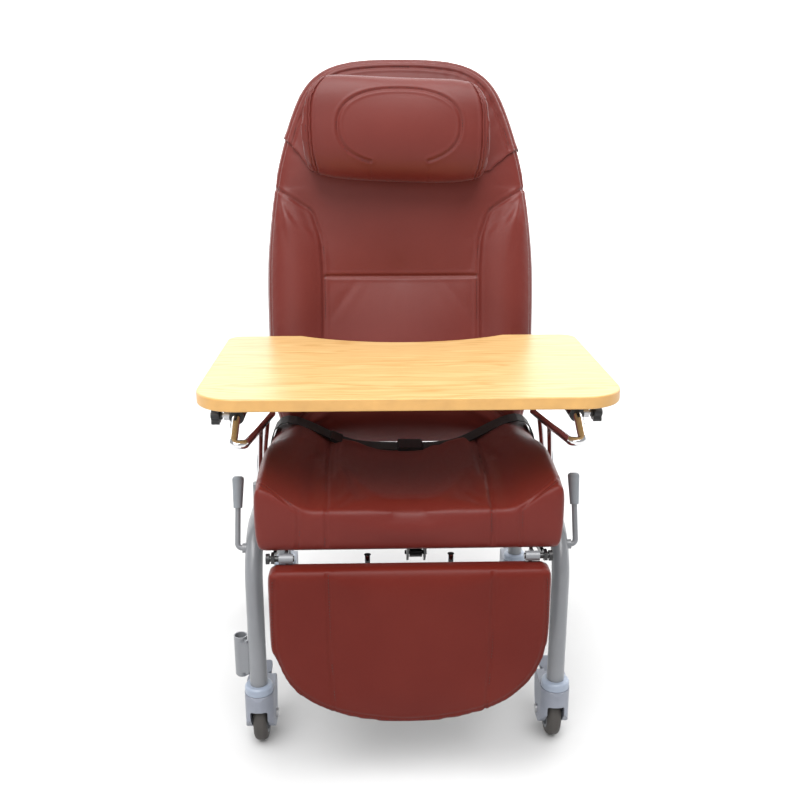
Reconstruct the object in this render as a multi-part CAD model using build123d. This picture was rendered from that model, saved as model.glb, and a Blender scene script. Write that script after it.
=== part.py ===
"""Patient recliner chair: an assembly of separate pieces, millimetres, +Z up.

+X is the right-hand side seen from the front, the chair faces -Y.  Every length along Y
is measured from the front-leg plane; the finished pieces are moved so that the middle of
the whole chair stands on the origin.
"""
import os
from math import atan2, cos, degrees, hypot, radians, sin, tan

from build123d import *

# ---------------------------------------------------------------- driving dimensions
# base: two inverted-U side frames on four castors
leg_x = 278.0            # centre of each leg from the middle of the chair
wheel_base = 540.0       # front leg to rear leg
frame_r = 16.0           # side frame tube radius
frame_wall = 2.0
rail_z = 424.0           # centre height of the side rail
frame_bend = 90.0        # bend radius of the inverted U
cross_r = 12.5           # cross tube radius
gap = 0.05               # running clearance on a radius
play = 1.0               # clearance between faces that pass each other

# castors
wheel_r = 50.0
wheel_w = 26.0
tyre_t = 14.0            # thickness of the tread
trail = 30.0             # wheel axle behind the swivel axis
fork_w = 54.0
fork_top = 118.0
cup_h = 15.0
cup_r = 26.0
axle_r = 6.0
arch_z = 86.0            # top of the opening in the front of the fork
slot_play = 3.0          # wheel side to fork cheek
stem_r = 7.0
stem_in = 10.0           # depth of the stem in the fork
pedal_y = 60.0           # brake pedal pivot behind the swivel axis
pedal_z = 102.0
pedal_pin_r = 3.0
pedal_hub_r = 7.0
pedal_w = 20.0
pedal_len = 46.0

# seat
seat_half = 262.0        # half width of the cushion
seat_front = -88.0
seat_back = 358.0
seat_bottom = 438.5
board_t = 12.0
seat_front_z = 519.5     # fold line at the front
seat_rear_z = 545.0      # tops of the side bolsters at the rear
seat_dish = 72.0         # depth of the dished middle at the rear
seat_dish_front = 4.0
dish_r = 400.0

# back
back_tilt = 12.0
back_foot_y = 370.0      # front face of the back at its lower edge
back_foot_z = 475.0
back_len = 810.0
back_half = 283.0
back_pad_t = 90.0
back_board_t = 10.0
back_tube_r = 12.5
back_tube_x = 190.0
pivot_s = -32.0          # recline pivot below the lower edge of the back ...
pivot_w = 80.0           # ... and behind its front face
pivot_r = 10.0
pivot_sleeve_t = 3.5
back_range = 50.0
handle_r = 12.5

# pillow
pillow_half = 188.0
pillow_x = -12.0
pillow_low = 552.0       # distance up the back
pillow_high = 752.0
pillow_t = 105.0
hood_t = 4.0

# legrest
leg_pivot_y = -83.0
leg_pivot_z = 428.0
leg_pin_r = 5.0
leg_pin_x = 232.0
leg_half = 240.0
leg_top = 418.0
leg_bottom = 123.0
leg_front = -118.0
leg_pad_t = 40.0
leg_board_t = 10.0
leg_rod_x = 72.0
leg_rod_r = 6.0
leg_range = 85.0

# armrests
arm_r = 8.0
arm_wall = 1.5
arm_x = 298.0            # top rail
arm_z = 645.0
arm_rear = 440.0
arm_knee = 14.0          # where the top rail starts to droop
tip_y = -33.0
tip_z = 617.0
hairpin = 9.5           # bend radius at the tip
inner_end_x = 267.0
inner_end_y = 290.0
inner_end_z = 570.0
post_x = 277.0
post_y = (132.0, 222.0)
socket_r = 13.0
socket_top = 482.0
pad_x = 313.0
pad_w = 56.0
pad_t = 30.0
pad_front = 175.0
pad_rear = 470.0

# table
table_w = 700.0
table_front = -117.0
table_rear = 339.0
table_top_z = 720.0
table_t = 21.0
edge_t = 3.0
table_front_r = 72.0
table_rear_r = 30.0
notch_half = 205.0
notch_depth = 62.0
sleeve_y0 = 16.0
sleeve_len = 55.0
sleeve_t = 5.0
table_travel = 50.0
screw_r = 4.0
boss_r = 9.0
boss_len = 10.0
knob_r = 17.0
knob_t = 14.0

# levers
lever_y = 26.4
lever_z = 397.6
lever_r = 5.0
lever_bush_r = 9.0
lever_bush_len = 5.0
lever_up = 72.0
lever_lean = 22.0
lever_bend = 8.5
grip_len = 52.0
lever_range = 25.0

# gas spring between the base and the arm of the back frame
strut_x = 18.0
strut_y = 95.0
strut_z = 352.0
strut_arm = 50.0         # arm of the back frame below its pivot
strut_rest = 8.0         # angle of that arm behind the vertical when upright
strut_pin_r = 4.0
strut_eye = 10.0         # hole of the open end of the spring, round that pin
strut_r = 13.0
strut_rod_r = 5.0
strut_body = 175.0

# IV pole holder
iv_r = 12.5
iv_wall = 2.0
iv_bottom = 140.0
iv_len = 84.0
iv_y = 20.0

# belt
belt_w = 48.0
belt_t = 2.0

os.makedirs("parts", exist_ok=True)
NODES = {}


# ---------------------------------------------------------------- helpers
def keep(name, *shapes):
    """Register the solids of one node."""
    solids = []
    for s in shapes:
        solids += list(s.solids())
    NODES[name] = solids


def cyl_x(r, x0, x1, y, z):
    """Cylinder along X."""
    lo, hi = min(x0, x1), max(x0, x1)
    return Pos((lo + hi) / 2, y, z) * Rot(0, 90, 0) * Cylinder(r, hi - lo)


def cyl_y(r, x, y0, y1, z):
    return Pos(x, (y0 + y1) / 2, z) * Rot(90, 0, 0) * Cylinder(r, abs(y1 - y0))


def cyl_z(r, x, y, z0, z1):
    return Pos(x, y, (z0 + z1) / 2) * Cylinder(r, abs(z1 - z0))


def block(x0, x1, y0, y1, z0, z1):
    return (Pos((x0 + x1) / 2, (y0 + y1) / 2, (z0 + z1) / 2)
            * Box(abs(x1 - x0), abs(y1 - y0), abs(z1 - z0)))


def bent_path(points, radii):
    """A path of straight runs joined by tangent arcs; one radius per inner point."""
    pts = [Vector(*p) for p in points]
    edges, start = [], pts[0]
    for i in range(1, len(pts) - 1):
        a = (pts[i - 1] - pts[i]).normalized()
        b = (pts[i + 1] - pts[i]).normalized()
        half = radians((a.get_angle(b)) / 2)
        run = radii[i - 1] / tan(half)
        t0, t1 = pts[i] + a * run, pts[i] + b * run
        mid_dir = (a + b).normalized()
        centre = pts[i] + mid_dir * (radii[i - 1] / sin(half))
        mid = centre - mid_dir * radii[i - 1]
        if (t0 - start).length > 1e-4:
            edges.append(Edge.make_line(start, t0))
        edges.append(Edge.make_three_point_arc(t0, mid, t1))
        start = t1
    if (pts[-1] - start).length > 1e-4:
        edges.append(Edge.make_line(start, pts[-1]))
    return Wire(edges)


def rod(points, radii, r):
    """Round bar along a bent path."""
    path = bent_path(points, radii)
    d = (Vector(*points[1]) - Vector(*points[0])).normalized()
    return sweep(Plane(origin=Vector(*points[0]), z_dir=d) * Circle(r), path=path)


def tube(points, radii, r, wall):
    """Round tube along a bent path."""
    return rod(points, radii, r) - rod(points, radii, r - wall)


def extrude_x(points, x0, x1):
    """Prism along X from a YZ outline."""
    lo, hi = min(x0, x1), max(x0, x1)
    face = make_face(Polyline(*[(lo, y, z) for y, z in points], close=True))
    return extrude(face, amount=hi - lo, dir=(1, 0, 0))


def soft(shape, edges, r):
    """Round edges as far as they allow."""
    for k in (1.0, 0.8, 0.6, 0.4, 0.25):
        try:
            out = fillet(edges, r * k)
            if out.is_valid:
                return out
        except Exception:
            continue
    return shape


UP = (sin(radians(back_tilt)), cos(radians(back_tilt)))
BACK = (cos(radians(back_tilt)), -sin(radians(back_tilt)))


def on_back(s, w):
    """(y, z) of a point s up the back and w behind its front face."""
    return (back_foot_y + s * UP[0] + w * BACK[0], back_foot_z + s * UP[1] + w * BACK[1])


def back_place(s=0.0, w=0.0):
    """Plane whose local x is X, local y runs up the back, local z points forwards."""
    y, z = on_back(s, w)
    return Plane(origin=(0, y, z), x_dir=(1, 0, 0), z_dir=(0, -BACK[0], -BACK[1]))


pivot_y, pivot_z = on_back(pivot_s, pivot_w)
rail_in = leg_x - frame_r
sides = (("left", -1), ("right", 1))
corners = (("front_left", -1, 0.0), ("front_right", 1, 0.0),
           ("rear_left", -1, wheel_base), ("rear_right", 1, wheel_base))

# ---------------------------------------------------------------- side frames
leg_foot = fork_top + play + cup_h * 0.55
for side, m in sides:
    path = [(m * leg_x, 0, leg_foot), (m * leg_x, 0, rail_z),
            (m * leg_x, wheel_base, rail_z), (m * leg_x, wheel_base, leg_foot)]
    body = tube(path, [frame_bend] * 2, frame_r, frame_wall)
    bush = cyl_x(lever_bush_r, m * (leg_x + frame_r - 3), m * (leg_x + frame_r + lever_bush_len),
                 lever_y, lever_z)
    bush -= rod(path, [frame_bend] * 2, frame_r - 0.5)
    body = body + bush
    hole_in = leg_x + frame_r + 1.0
    body -= cyl_x(lever_r + gap, m * hole_in, m * (leg_x + frame_r + lever_bush_len + 1),
                  lever_y, lever_z)
    keep("side_frame_" + side, body)

# cups that close the leg ends and carry the swivel stems
cups = []
for _, m, y in corners:
    z0 = fork_top + play
    cup = cyl_z(cup_r, m * leg_x, y, z0, z0 + cup_h)
    cup = soft(cup, cup.edges().group_by(Axis.Z)[-1], 5)
    cup -= cyl_z(frame_r, m * leg_x, y, leg_foot, z0 + cup_h + 1)
    stem = cyl_z(stem_r, m * leg_x, y, fork_top - stem_in, z0 + 1)
    cups.append(cup + stem)
keep("castor_cups", *cups)

# ---------------------------------------------------------------- castors
slot_w = wheel_w + 2 * slot_play
for name, m, y0 in corners:
    x0 = m * leg_x
    outline = [(-24, fork_top), (-27, fork_top - 8), (-26, 72), (-19, 64), (-2, 44), (14, 31),
               (42, 28), (58, 44), (68, 70), (72, 92), (70, 108), (58, fork_top)]
    fork = extrude_x([(y0 + a, b) for a, b in outline], x0 - fork_w / 2, x0 + fork_w / 2)
    fork = soft(fork, fork.edges().filter_by(Axis.X), 4)
    plan = (Pos(x0, y0) * Circle(fork_w / 2)
            + Pos(x0, y0 + 24) * Rectangle(fork_w, 48)
            + Pos(x0, y0 + 60) * RectangleRounded(fork_w - 2, 60, 10))
    fork = fork & extrude(plan, amount=fork_top + 10)
    fork = max(fork.solids(), key=lambda s: s.volume)
    fork -= cyl_x(wheel_r + slot_play, x0 - slot_w / 2, x0 + slot_w / 2, y0 + trail, wheel_r)
    fork -= block(x0 - slot_w / 2, x0 + slot_w / 2, y0 - 30, y0 + 90, 0, wheel_r)
    arch = block(x0 - slot_w / 2, x0 + slot_w / 2, y0 - 40, y0 + 4, 20, arch_z)
    fork -= soft(arch, arch.edges().filter_by(Axis.Y), 5)
    fork -= cyl_x(axle_r, x0 - 40, x0 + 40, y0 + trail, wheel_r)
    fork -= cyl_z(stem_r + gap, x0, y0, fork_top - stem_in - 1, fork_top + 1)
    fork -= block(x0 - pedal_w / 2 - play, x0 + pedal_w / 2 + play, y0 + pedal_y - 10, y0 + 100,
                  pedal_z - 12, fork_top + 5)
    fork -= cyl_x(pedal_pin_r, x0 - 24, x0 + 24, y0 + pedal_y, pedal_z)
    keep("castor_fork_" + name, fork)
    axle = cyl_x(axle_r, x0 - fork_w / 2, x0 + fork_w / 2, y0 + trail, wheel_r)
    for k in (-1, 1):
        a = x0 + k * fork_w / 2
        axle += cyl_x(9, a, a + k * 4, y0 + trail, wheel_r)
    pin = cyl_x(pedal_pin_r, x0 - 24, x0 + 24, y0 + pedal_y, pedal_z)
    keep("castor_axle_" + name, axle, pin)
    tyre = cyl_x(wheel_r, x0 - wheel_w / 2, x0 + wheel_w / 2, y0 + trail, wheel_r)
    tyre = soft(tyre, tyre.edges(), 10)
    core = cyl_x(wheel_r - tyre_t, x0 - wheel_w / 2, x0 + wheel_w / 2, y0 + trail, wheel_r)
    keep("castor_tyre_" + name, tyre - core)
    hub = core - cyl_x(axle_r + gap, x0 - 30, x0 + 30, y0 + trail, wheel_r)
    for k in (-1, 1):
        face_x = x0 + k * wheel_w / 2
        hub -= (cyl_x(wheel_r - tyre_t - 5, face_x - k * 6, face_x + k, y0 + trail, wheel_r)
                - cyl_x(13, face_x - k * 7, face_x + 2 * k, y0 + trail, wheel_r))
    keep("castor_hub_" + name, hub)
    pedal = cyl_x(pedal_hub_r, x0 - pedal_w / 2, x0 + pedal_w / 2, y0 + pedal_y, pedal_z)
    plate = block(x0 - 15, x0 + 15, y0 + pedal_y + 16, y0 + pedal_y + pedal_len,
                  pedal_z - 3.5, pedal_z + 3.5)
    plate = soft(plate, plate.edges().filter_by(Axis.Z), 6)
    neck = block(x0 - pedal_w / 2, x0 + pedal_w / 2, y0 + pedal_y, y0 + pedal_y + 18,
                 pedal_z - 3.5, pedal_z + 3.5)
    tread = plate + neck
    tread = Pos(0, y0 + pedal_y, pedal_z) * Rot(18, 0, 0) * Pos(0, -y0 - pedal_y, -pedal_z) * tread
    pedal = pedal + tread - cyl_x(pedal_pin_r + gap, x0 - 20, x0 + 20, y0 + pedal_y, pedal_z)
    keep("castor_pedal_" + name, pedal)

# ---------------------------------------------------------------- cross tubes, shaft, lugs
cross_z = seat_bottom - board_t - cross_r
cross_front_y, cross_rear_y = 20.0, 318.0
tubes = []
for y in (cross_front_y, cross_rear_y):
    tubes.append(cyl_x(cross_r, -rail_in - 3, rail_in + 3, y, cross_z)
                 - cyl_x(cross_r - frame_wall, -rail_in - 4, rail_in + 4, y, cross_z))
low_z = 200.0
tubes.append(cyl_x(cross_r, -rail_in - 3, rail_in + 3, wheel_base, low_z)
             - cyl_x(cross_r - frame_wall, -rail_in - 4, rail_in + 4, wheel_base, low_z))
envelope = None
for _, m in sides:
    path = [(m * leg_x, 0, leg_foot), (m * leg_x, 0, rail_z),
            (m * leg_x, wheel_base, rail_z), (m * leg_x, wheel_base, leg_foot)]
    e = rod(path, [frame_bend] * 2, frame_r)
    envelope = e if envelope is None else envelope + e
tubes = [t - envelope for t in tubes]
strut_lug = []
for k in (-1, 1):
    x = strut_x + k * 16.0
    lug = extrude_x([(cross_front_y - 6, cross_z), (cross_front_y + 10, cross_z),
                     (strut_y + 12, strut_z + 6), (strut_y + 12, strut_z - 11),
                     (strut_y - 12, strut_z - 11)], x - 2, x + 2)
    lug -= cyl_x(cross_r, x - 3, x + 3, cross_front_y, cross_z)
    lug -= cyl_x(strut_pin_r, x - 3, x + 3, strut_y, strut_z)
    strut_lug.append(lug)
strut_pin = cyl_x(strut_pin_r, strut_x - 21, strut_x + 21, strut_y, strut_z)
shaft = cyl_x(pivot_r, -rail_in - 6, rail_in + 6, pivot_y, pivot_z) - envelope

# ---------------------------------------------------------------- seat
board = block(-seat_half + 14, seat_half - 14, seat_front + 42, seat_back - 12,
              seat_bottom - board_t, seat_bottom)
board = soft(board, board.edges().filter_by(Axis.Z), 18)
screws = []
for x in (-200.0, 200.0):
    for y in (cross_front_y, cross_rear_y):
        z_low = cross_z - cross_r
        screws.append(cyl_z(4, x, y, z_low - 5, z_low) + cyl_z(3, x, y, z_low, seat_bottom - 4))
        board -= cyl_z(3, x, y, z_low, seat_bottom - 4)
for i, y in enumerate((cross_front_y, cross_rear_y)):
    for x in (-200.0, 200.0):
        tubes[i] -= cyl_z(3, x, y, cross_z - cross_r - 1, cross_z + cross_r + 1)
keep("cross_tubes", *tubes, shaft)
keep("seat_board", board)
keep("seat_screws", *screws)

side = [(seat_front + 10, seat_bottom), (seat_back - 6, seat_bottom),
        (seat_back, seat_bottom + 14), (seat_back, seat_rear_z), (seat_back - 110, seat_rear_z),
        (seat_front + 4, seat_front_z), (seat_front, seat_front_z - 6),
        (seat_front, seat_bottom + 12)]
cushion = extrude_x(side, -seat_half, seat_half)
run = seat_back - seat_front
drop = (seat_rear_z - seat_dish) - (seat_front_z - seat_dish_front)
slope = degrees(atan2(drop, run))
dish = Rot(90, 0, 0) * Cylinder(dish_r, run * 3)
dish = (Pos(0, seat_front, seat_front_z - seat_dish_front + dish_r / cos(radians(slope)))
        * Rot(slope, 0, 0) * dish)
cushion -= dish
cushion = soft(cushion, [e for e in cushion.edges()
                         if abs(abs(e.center().X) - seat_half) < 0.5
                         and e.center().Z > seat_bottom + 30
                         and e.center().Y > seat_front + 6], 22)
cushion = soft(cushion, [e for e in cushion.edges().filter_by(Axis.Z)
                         if e.center().Y < seat_front + 8], 14)
keep("seat_cushion", cushion)

# ---------------------------------------------------------------- back
def back_outline(inset=0.0, steps=None):
    """Half outline of the back: (half width, distance up) from the foot to the crown."""
    w = back_half
    rows = [(0.80, 0.0), (0.885, 0.030), (0.945, 0.085), (0.985, 0.17), (1.0, 0.30),
            (0.998, 0.48), (0.968, 0.60), (0.93, 0.70), (0.875, 0.78), (0.80, 0.86),
            (0.70, 0.93), (0.57, 0.97), (0.38, 0.992), (0.0, 1.0)]
    out = []
    for f, h in rows:
        half = max(w * f - inset, 0.0)
        up = inset + h * (back_len - 2 * inset)
        out.append((half, up))
    return out


def back_slab(w0, w1, inset):
    """Slab of the back outline between two depths."""
    right = back_outline(inset)
    left = [(-x, s) for x, s in reversed(right[:-1])]
    with_spline = Spline(*[(x, s) for x, s in right + left])
    foot = Line((left[-1][0], left[-1][1]), (right[0][0], right[0][1]))
    face = make_face([with_spline.edge(), foot.edge()])
    face = back_place(0, w1) * face
    n = Vector(0, -BACK[0], -BACK[1])
    return extrude(face, amount=w1 - w0, dir=(n.X, n.Y, n.Z))


pad = back_slab(0, back_pad_t, 0.0)
front_edges = [e for e in pad.edges()
               if abs((e.center().Y - back_foot_y) * BACK[0]
                      + (e.center().Z - back_foot_z) * BACK[1]) < 1.0]
pad = soft(pad, front_edges, 34)
keep("back_cushion", pad)
panel = back_slab(back_pad_t, back_pad_t + back_board_t, 12.0)
keep("back_board", panel)

tube_w = back_pad_t + back_board_t + back_tube_r


def bp(x, s, w):
    y, z = on_back(s, w)
    return (x, y, z)


foot_s = 30.0
hoop_s = back_len - 212.0
hoop = tube([bp(-back_tube_x, foot_s, tube_w), bp(-back_tube_x, hoop_s, tube_w),
             bp(back_tube_x, hoop_s, tube_w), bp(back_tube_x, foot_s, tube_w)],
            [70, 70], back_tube_r, frame_wall)
plates = None
for m in (-1, 1):
    x = m * back_tube_x
    yz = [on_back(foot_s + 50, tube_w + 14.5), on_back(foot_s + 50, tube_w - 11.5),
          on_back(2, tube_w - 10), on_back(pivot_s + 12, pivot_w - 10),
          on_back(pivot_s - 12, pivot_w - 4), on_back(pivot_s - 12, pivot_w + 12),
          on_back(foot_s - 20, tube_w + 14.5)]
    plate = extrude_x(yz, x - 4, x + 4)
    sleeve = cyl_x(pivot_r + pivot_sleeve_t, x - 15, x + 15, pivot_y, pivot_z)
    part_ = plate + sleeve
    plates = part_ if plates is None else plates + part_
# the plates are welded to the outside of the tube, which stays hollow
bore_fill = rod([bp(-back_tube_x, foot_s - 1, tube_w), bp(-back_tube_x, hoop_s, tube_w),
                 bp(back_tube_x, hoop_s, tube_w), bp(back_tube_x, foot_s - 1, tube_w)],
                [70, 70], back_tube_r - 1.0)
frame = hoop + (plates - bore_fill)
mid_bar_s = 330.0
bar = cyl_x(9, -back_tube_x, back_tube_x, *on_back(mid_bar_s, tube_w))
frame = frame + (bar - rod([bp(-back_tube_x, foot_s, tube_w), bp(-back_tube_x, hoop_s, tube_w)],
                           [], back_tube_r - frame_wall)
                 - rod([bp(back_tube_x, foot_s, tube_w), bp(back_tube_x, hoop_s, tube_w)],
                       [], back_tube_r - frame_wall))
# arm that the gas spring pulls on
arm_y = pivot_y + strut_arm * sin(radians(strut_rest))
arm_zz = pivot_z - strut_arm * cos(radians(strut_rest))
sleeve_mid = cyl_x(pivot_r + pivot_sleeve_t, strut_x - 26, strut_x + 26, pivot_y, pivot_z)
tie = None
for k in (-1, 1):
    x = strut_x + k * 16.0
    cheek = extrude_x([(pivot_y - 10, pivot_z + 4), (pivot_y + 10, pivot_z + 4),
                       (arm_y + 10, arm_zz - 2), (arm_y + 5, arm_zz - 10),
                       (arm_y - 5, arm_zz - 10), (arm_y - 10, arm_zz - 2)], x - 2, x + 2)
    cheek -= cyl_x(strut_pin_r, x - 3, x + 3, arm_y, arm_zz)
    tie = cheek if tie is None else tie + cheek
riser_w = tube_w
riser = rod([bp(strut_x, mid_bar_s, riser_w), bp(strut_x, foot_s, riser_w)], [], 7)
riser_plate = extrude_x([on_back(foot_s + 50, tube_w + 11.5), on_back(foot_s + 50, tube_w - 11.5),
                         on_back(2, tube_w - 10), on_back(pivot_s + 12, pivot_w - 10),
                         on_back(pivot_s - 12, pivot_w - 4), on_back(pivot_s - 12, pivot_w + 12),
                         on_back(foot_s - 20, tube_w + 10)], strut_x - 4, strut_x + 4)
frame = frame + riser + riser_plate + sleeve_mid + tie
frame -= cyl_x(pivot_r + gap, -back_tube_x - 20, back_tube_x + 20, pivot_y, pivot_z)
# the pin between the cheeks carries the open end of the gas spring
keep("back_frame", frame, cyl_x(strut_pin_r, strut_x - 21, strut_x + 21, arm_y, arm_zz))

# push handle behind the crown
hs = hoop_s + 2.0
handle = rod([bp(-150, hs, tube_w + 8), bp(-150, hs + 8, tube_w + 90),
              bp(150, hs + 8, tube_w + 90), bp(150, hs, tube_w + 8)], [35, 35], handle_r)
handle -= hoop + rod([bp(-back_tube_x, hoop_s, tube_w), bp(back_tube_x, hoop_s, tube_w)],
                     [], back_tube_r)
keep("push_handle", max(handle.solids(), key=lambda s: s.volume))

# ---------------------------------------------------------------- pillow and its hood
outer = back_slab(-hood_t, back_pad_t + back_board_t + hood_t, -hood_t - 1.0)
inner = back_slab(-0.6, back_pad_t + back_board_t + 0.6, -0.6)
shell = outer - inner
low = 610.0
cutter = back_place(low / 2 - 60, 60) * Box(2 * back_half + 80, low + 120, 400)
shell -= cutter
shell = shell - envelope
keep("pillow_hood", max(shell.solids(), key=lambda s: s.volume))

mid_s = (pillow_low + pillow_high) / 2
half_h = (pillow_high - pillow_low) / 2
section = back_place(mid_s, -hood_t - pillow_t / 2 - 0.6) * (
    Pos(pillow_x, 0, 0) * Rot(0, 90, 0) * Ellipse(pillow_t / 2, half_h))
roll = extrude(section, amount=pillow_half, both=True)
roll = soft(roll, roll.edges(), 20)
keep("head_pillow", roll)

# ---------------------------------------------------------------- legrest
def d_shape(half, top, bottom):
    """D-shaped outline in XZ."""
    h = top - bottom
    side_z = top - 0.335 * h
    pts = [(half, side_z), (half * 0.978, top - 0.53 * h), (half * 0.895, top - 0.705 * h),
           (half * 0.735, top - 0.845 * h), (half * 0.475, top - 0.947 * h), (0, bottom)]
    mirror_pts = [(-x, z) for x, z in reversed(pts[:-1])]
    curve = Spline(*[(x, 0, z) for x, z in pts + mirror_pts],
                   tangents=((0, 0, -1), (0, 0, 1)))
    lines = Polyline((half, 0, side_z), (half, 0, top), (-half, 0, top), (-half, 0, side_z))
    return make_face(curve.edges() + lines.edges())


leg_face = d_shape(leg_half, leg_top, leg_bottom)
leg_pad = Pos(0, leg_front, 0) * extrude(leg_face, amount=leg_pad_t, dir=(0, 1, 0))
leg_pad = soft(leg_pad, [e for e in leg_pad.edges().filter_by(Axis.Y)
                         if e.center().Z > leg_top - 2], 14)
leg_pad = soft(leg_pad, leg_pad.edges().group_by(Axis.Y)[0], 15)
keep("legrest_pad", leg_pad)
pad_back = leg_front + leg_pad_t
leg_panel = Pos(0, pad_back, 0) * extrude(d_shape(leg_half - 10, leg_top - 8, leg_bottom + 10),
                                          amount=leg_board_t, dir=(0, 1, 0))
keep("legrest_board", leg_panel)
rod_y = pad_back + leg_board_t + leg_rod_r
cage = []
for m in (-1, 1):
    x = m * (leg_pin_x - 22)
    arm = extrude_x([(rod_y - leg_rod_r, leg_top - 110), (rod_y + 4, leg_top - 110),
                     (rod_y + 4, leg_top - 6), (rod_y - 2, leg_pivot_z + 7),
                     (leg_pivot_y, leg_pivot_z + 8), (leg_pivot_y, leg_top + 2),
                     (rod_y - leg_rod_r, leg_top + 2)], x - 3, x + 3)
    arm = arm + cyl_x(8.5, x - 12, x + 12, leg_pivot_y, leg_pivot_z)
    arm -= cyl_x(leg_pin_r + gap, x - 14, x + 14, leg_pivot_y, leg_pivot_z)
    cage.append(arm)
keep("legrest_brackets", *cage)
rods = []
for m in (-1, 1):
    r_ = rod([(m * leg_rod_x, rod_y, leg_bottom + 60),
              (m * leg_rod_x, rod_y, leg_pivot_z - 4)], [], leg_rod_r)
    rods.append(r_)
keep("legrest_rods", *rods)

# hinge brackets and pins at the front corners of the base, with black caps
hang = []
pins = []
capz = []
for m in (-1, 1):
    x = m * leg_pin_x
    lug = extrude_x([(leg_pivot_y - 9, leg_pivot_z - 5), (leg_pivot_y, leg_pivot_z - 8.5),
                     (leg_pivot_y + 14, leg_pivot_z - 8.5),
                     (cross_front_y, cross_z - 10), (cross_front_y, cross_z + 10),
                     (seat_front + 23, seat_bottom - board_t - play),
                     (leg_pivot_y + 8, leg_pivot_z + 9),
                     (leg_pivot_y - 9, leg_pivot_z + 9)], x - 3, x + 3)
    lug -= cyl_x(cross_r, x - 4, x + 4, cross_front_y, cross_z)
    lug -= cyl_x(leg_pin_r, x - 4, x + 4, leg_pivot_y, leg_pivot_z)
    hang.append(lug)
    pins.append(cyl_x(leg_pin_r, m * (leg_pin_x - 36), m * (leg_pin_x + 6),
                      leg_pivot_y, leg_pivot_z))
    capz.append(cyl_x(9, m * (leg_pin_x + 6), m * (leg_pin_x + 12), leg_pivot_y, leg_pivot_z))
keep("base_lugs", *hang, *pins, *strut_lug, strut_pin)
keep("hinge_caps", *capz)

# ---------------------------------------------------------------- armrests
pads = []
socks = []
for side_name, m in sides:
    loop = [(m * arm_x, arm_rear, arm_z), (m * arm_x, arm_knee, arm_z),
            (m * (arm_x - 0), tip_y, tip_z), (m * (arm_x - 2 * hairpin - 0.2), tip_y, tip_z - 1),
            (m * inner_end_x, inner_end_y, inner_end_z)]
    hoop_arm = tube(loop, [45, hairpin, hairpin], arm_r, arm_wall)
    solid_arm = rod(loop, [45, hairpin, hairpin], arm_r)
    ix0, iy0, iz0 = loop[3]
    ix1, iy1, iz1 = loop[4]
    for py in post_y:
        t = (py - iy0) / (iy1 - iy0)
        top = (ix0 + (ix1 - ix0) * t, py, iz0 + (iz1 - iz0) * t)
        post_pts = [top, (m * post_x, py, 520), (m * post_x, py, rail_z + frame_r + 4)]
        post = rod(post_pts, [60], arm_r - 1.0)
        hoop_arm = hoop_arm + (post - rod(loop, [45, hairpin, hairpin], arm_r - arm_wall))
        sock = cyl_z(socket_r, m * post_x, py, rail_z, socket_top)
        sock -= cyl_z(arm_r - 1.0, m * post_x, py, rail_z + frame_r + 4, socket_top + 1)
        sock -= envelope
        sock = max(sock.solids(), key=lambda s: s.volume)
        socks.append(sock)
    hoop_arm += Pos(m * arm_x, arm_rear + 1.5, arm_z) * Rot(90, 0, 0) * Cylinder(arm_r, 3)
    keep("armrest_tube_" + side_name, max(hoop_arm.solids(), key=lambda s: s.volume))
    pad_box = block(m * (pad_x - pad_w / 2), m * (pad_x + pad_w / 2), pad_front, pad_rear,
                    arm_z + arm_r - 2, arm_z + arm_r - 2 + pad_t)
    pad_box = soft(pad_box, pad_box.edges().filter_by(Axis.Z), 22)
    pad_box = soft(pad_box, pad_box.edges().group_by(Axis.Z)[-1], 9)
    pad_box -= cyl_y(arm_r, m * arm_x, pad_front - 1, pad_rear + 1, arm_z)
    pads.append(pad_box)
keep("arm_pads", *pads)
keep("armrest_sockets", *socks)

# ---------------------------------------------------------------- IV pole holder
iv_x = -(leg_x + frame_r + iv_r + 4.0)
holder = cyl_z(iv_r, iv_x, iv_y, iv_bottom, iv_bottom + iv_len)
holder = soft(holder, holder.edges().group_by(Axis.Z)[0], 6)
holder -= cyl_z(iv_r - iv_wall, iv_x, iv_y, iv_bottom + 4, iv_bottom + iv_len + 1)
web = block(iv_x, -leg_x, 3, 9, iv_bottom + 14, iv_bottom + iv_len - 8)
web = web + cyl_z(4.0, iv_x + iv_r - 1, 7, iv_bottom + 10, iv_bottom + iv_len - 4)
holder = holder + web
holder -= cyl_z(iv_r - iv_wall, iv_x, iv_y, iv_bottom + 4, iv_bottom + iv_len + 1)
holder -= envelope
holder -= cyl_z(cup_r, -leg_x, 0, 0, fork_top + play + cup_h)
keep("iv_pole_holder", max(holder.solids(), key=lambda s: s.volume))

# ---------------------------------------------------------------- table
def table_face(inset):
    """Outline of the table: rounded corners, shallow concave rear edge."""
    w = table_w / 2 - inset
    y0, y1 = table_front + inset, table_rear - inset
    base = Rectangle(2 * w, y1 - y0)
    base = Pos(0, (y0 + y1) / 2) * base
    chord, depth = notch_half + inset, notch_depth + inset * 0
    r = (chord ** 2 + notch_depth ** 2) / (2 * notch_depth)
    base -= Pos(0, table_rear - notch_depth + r) * Circle(r + inset)
    front = [v for v in base.vertices() if v.Y < y0 + 1]
    base = fillet(front, max(table_front_r - inset, 1))
    rear = [v for v in base.vertices() if v.Y > y1 - 1 and abs(v.X) > w - 1]
    base = fillet(rear, max(table_rear_r - inset, 1))
    lip = [v for v in base.vertices() if v.Y > y1 - 1 and abs(v.X) < w - table_rear_r - 1]
    return fillet(lip, 18)


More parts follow.
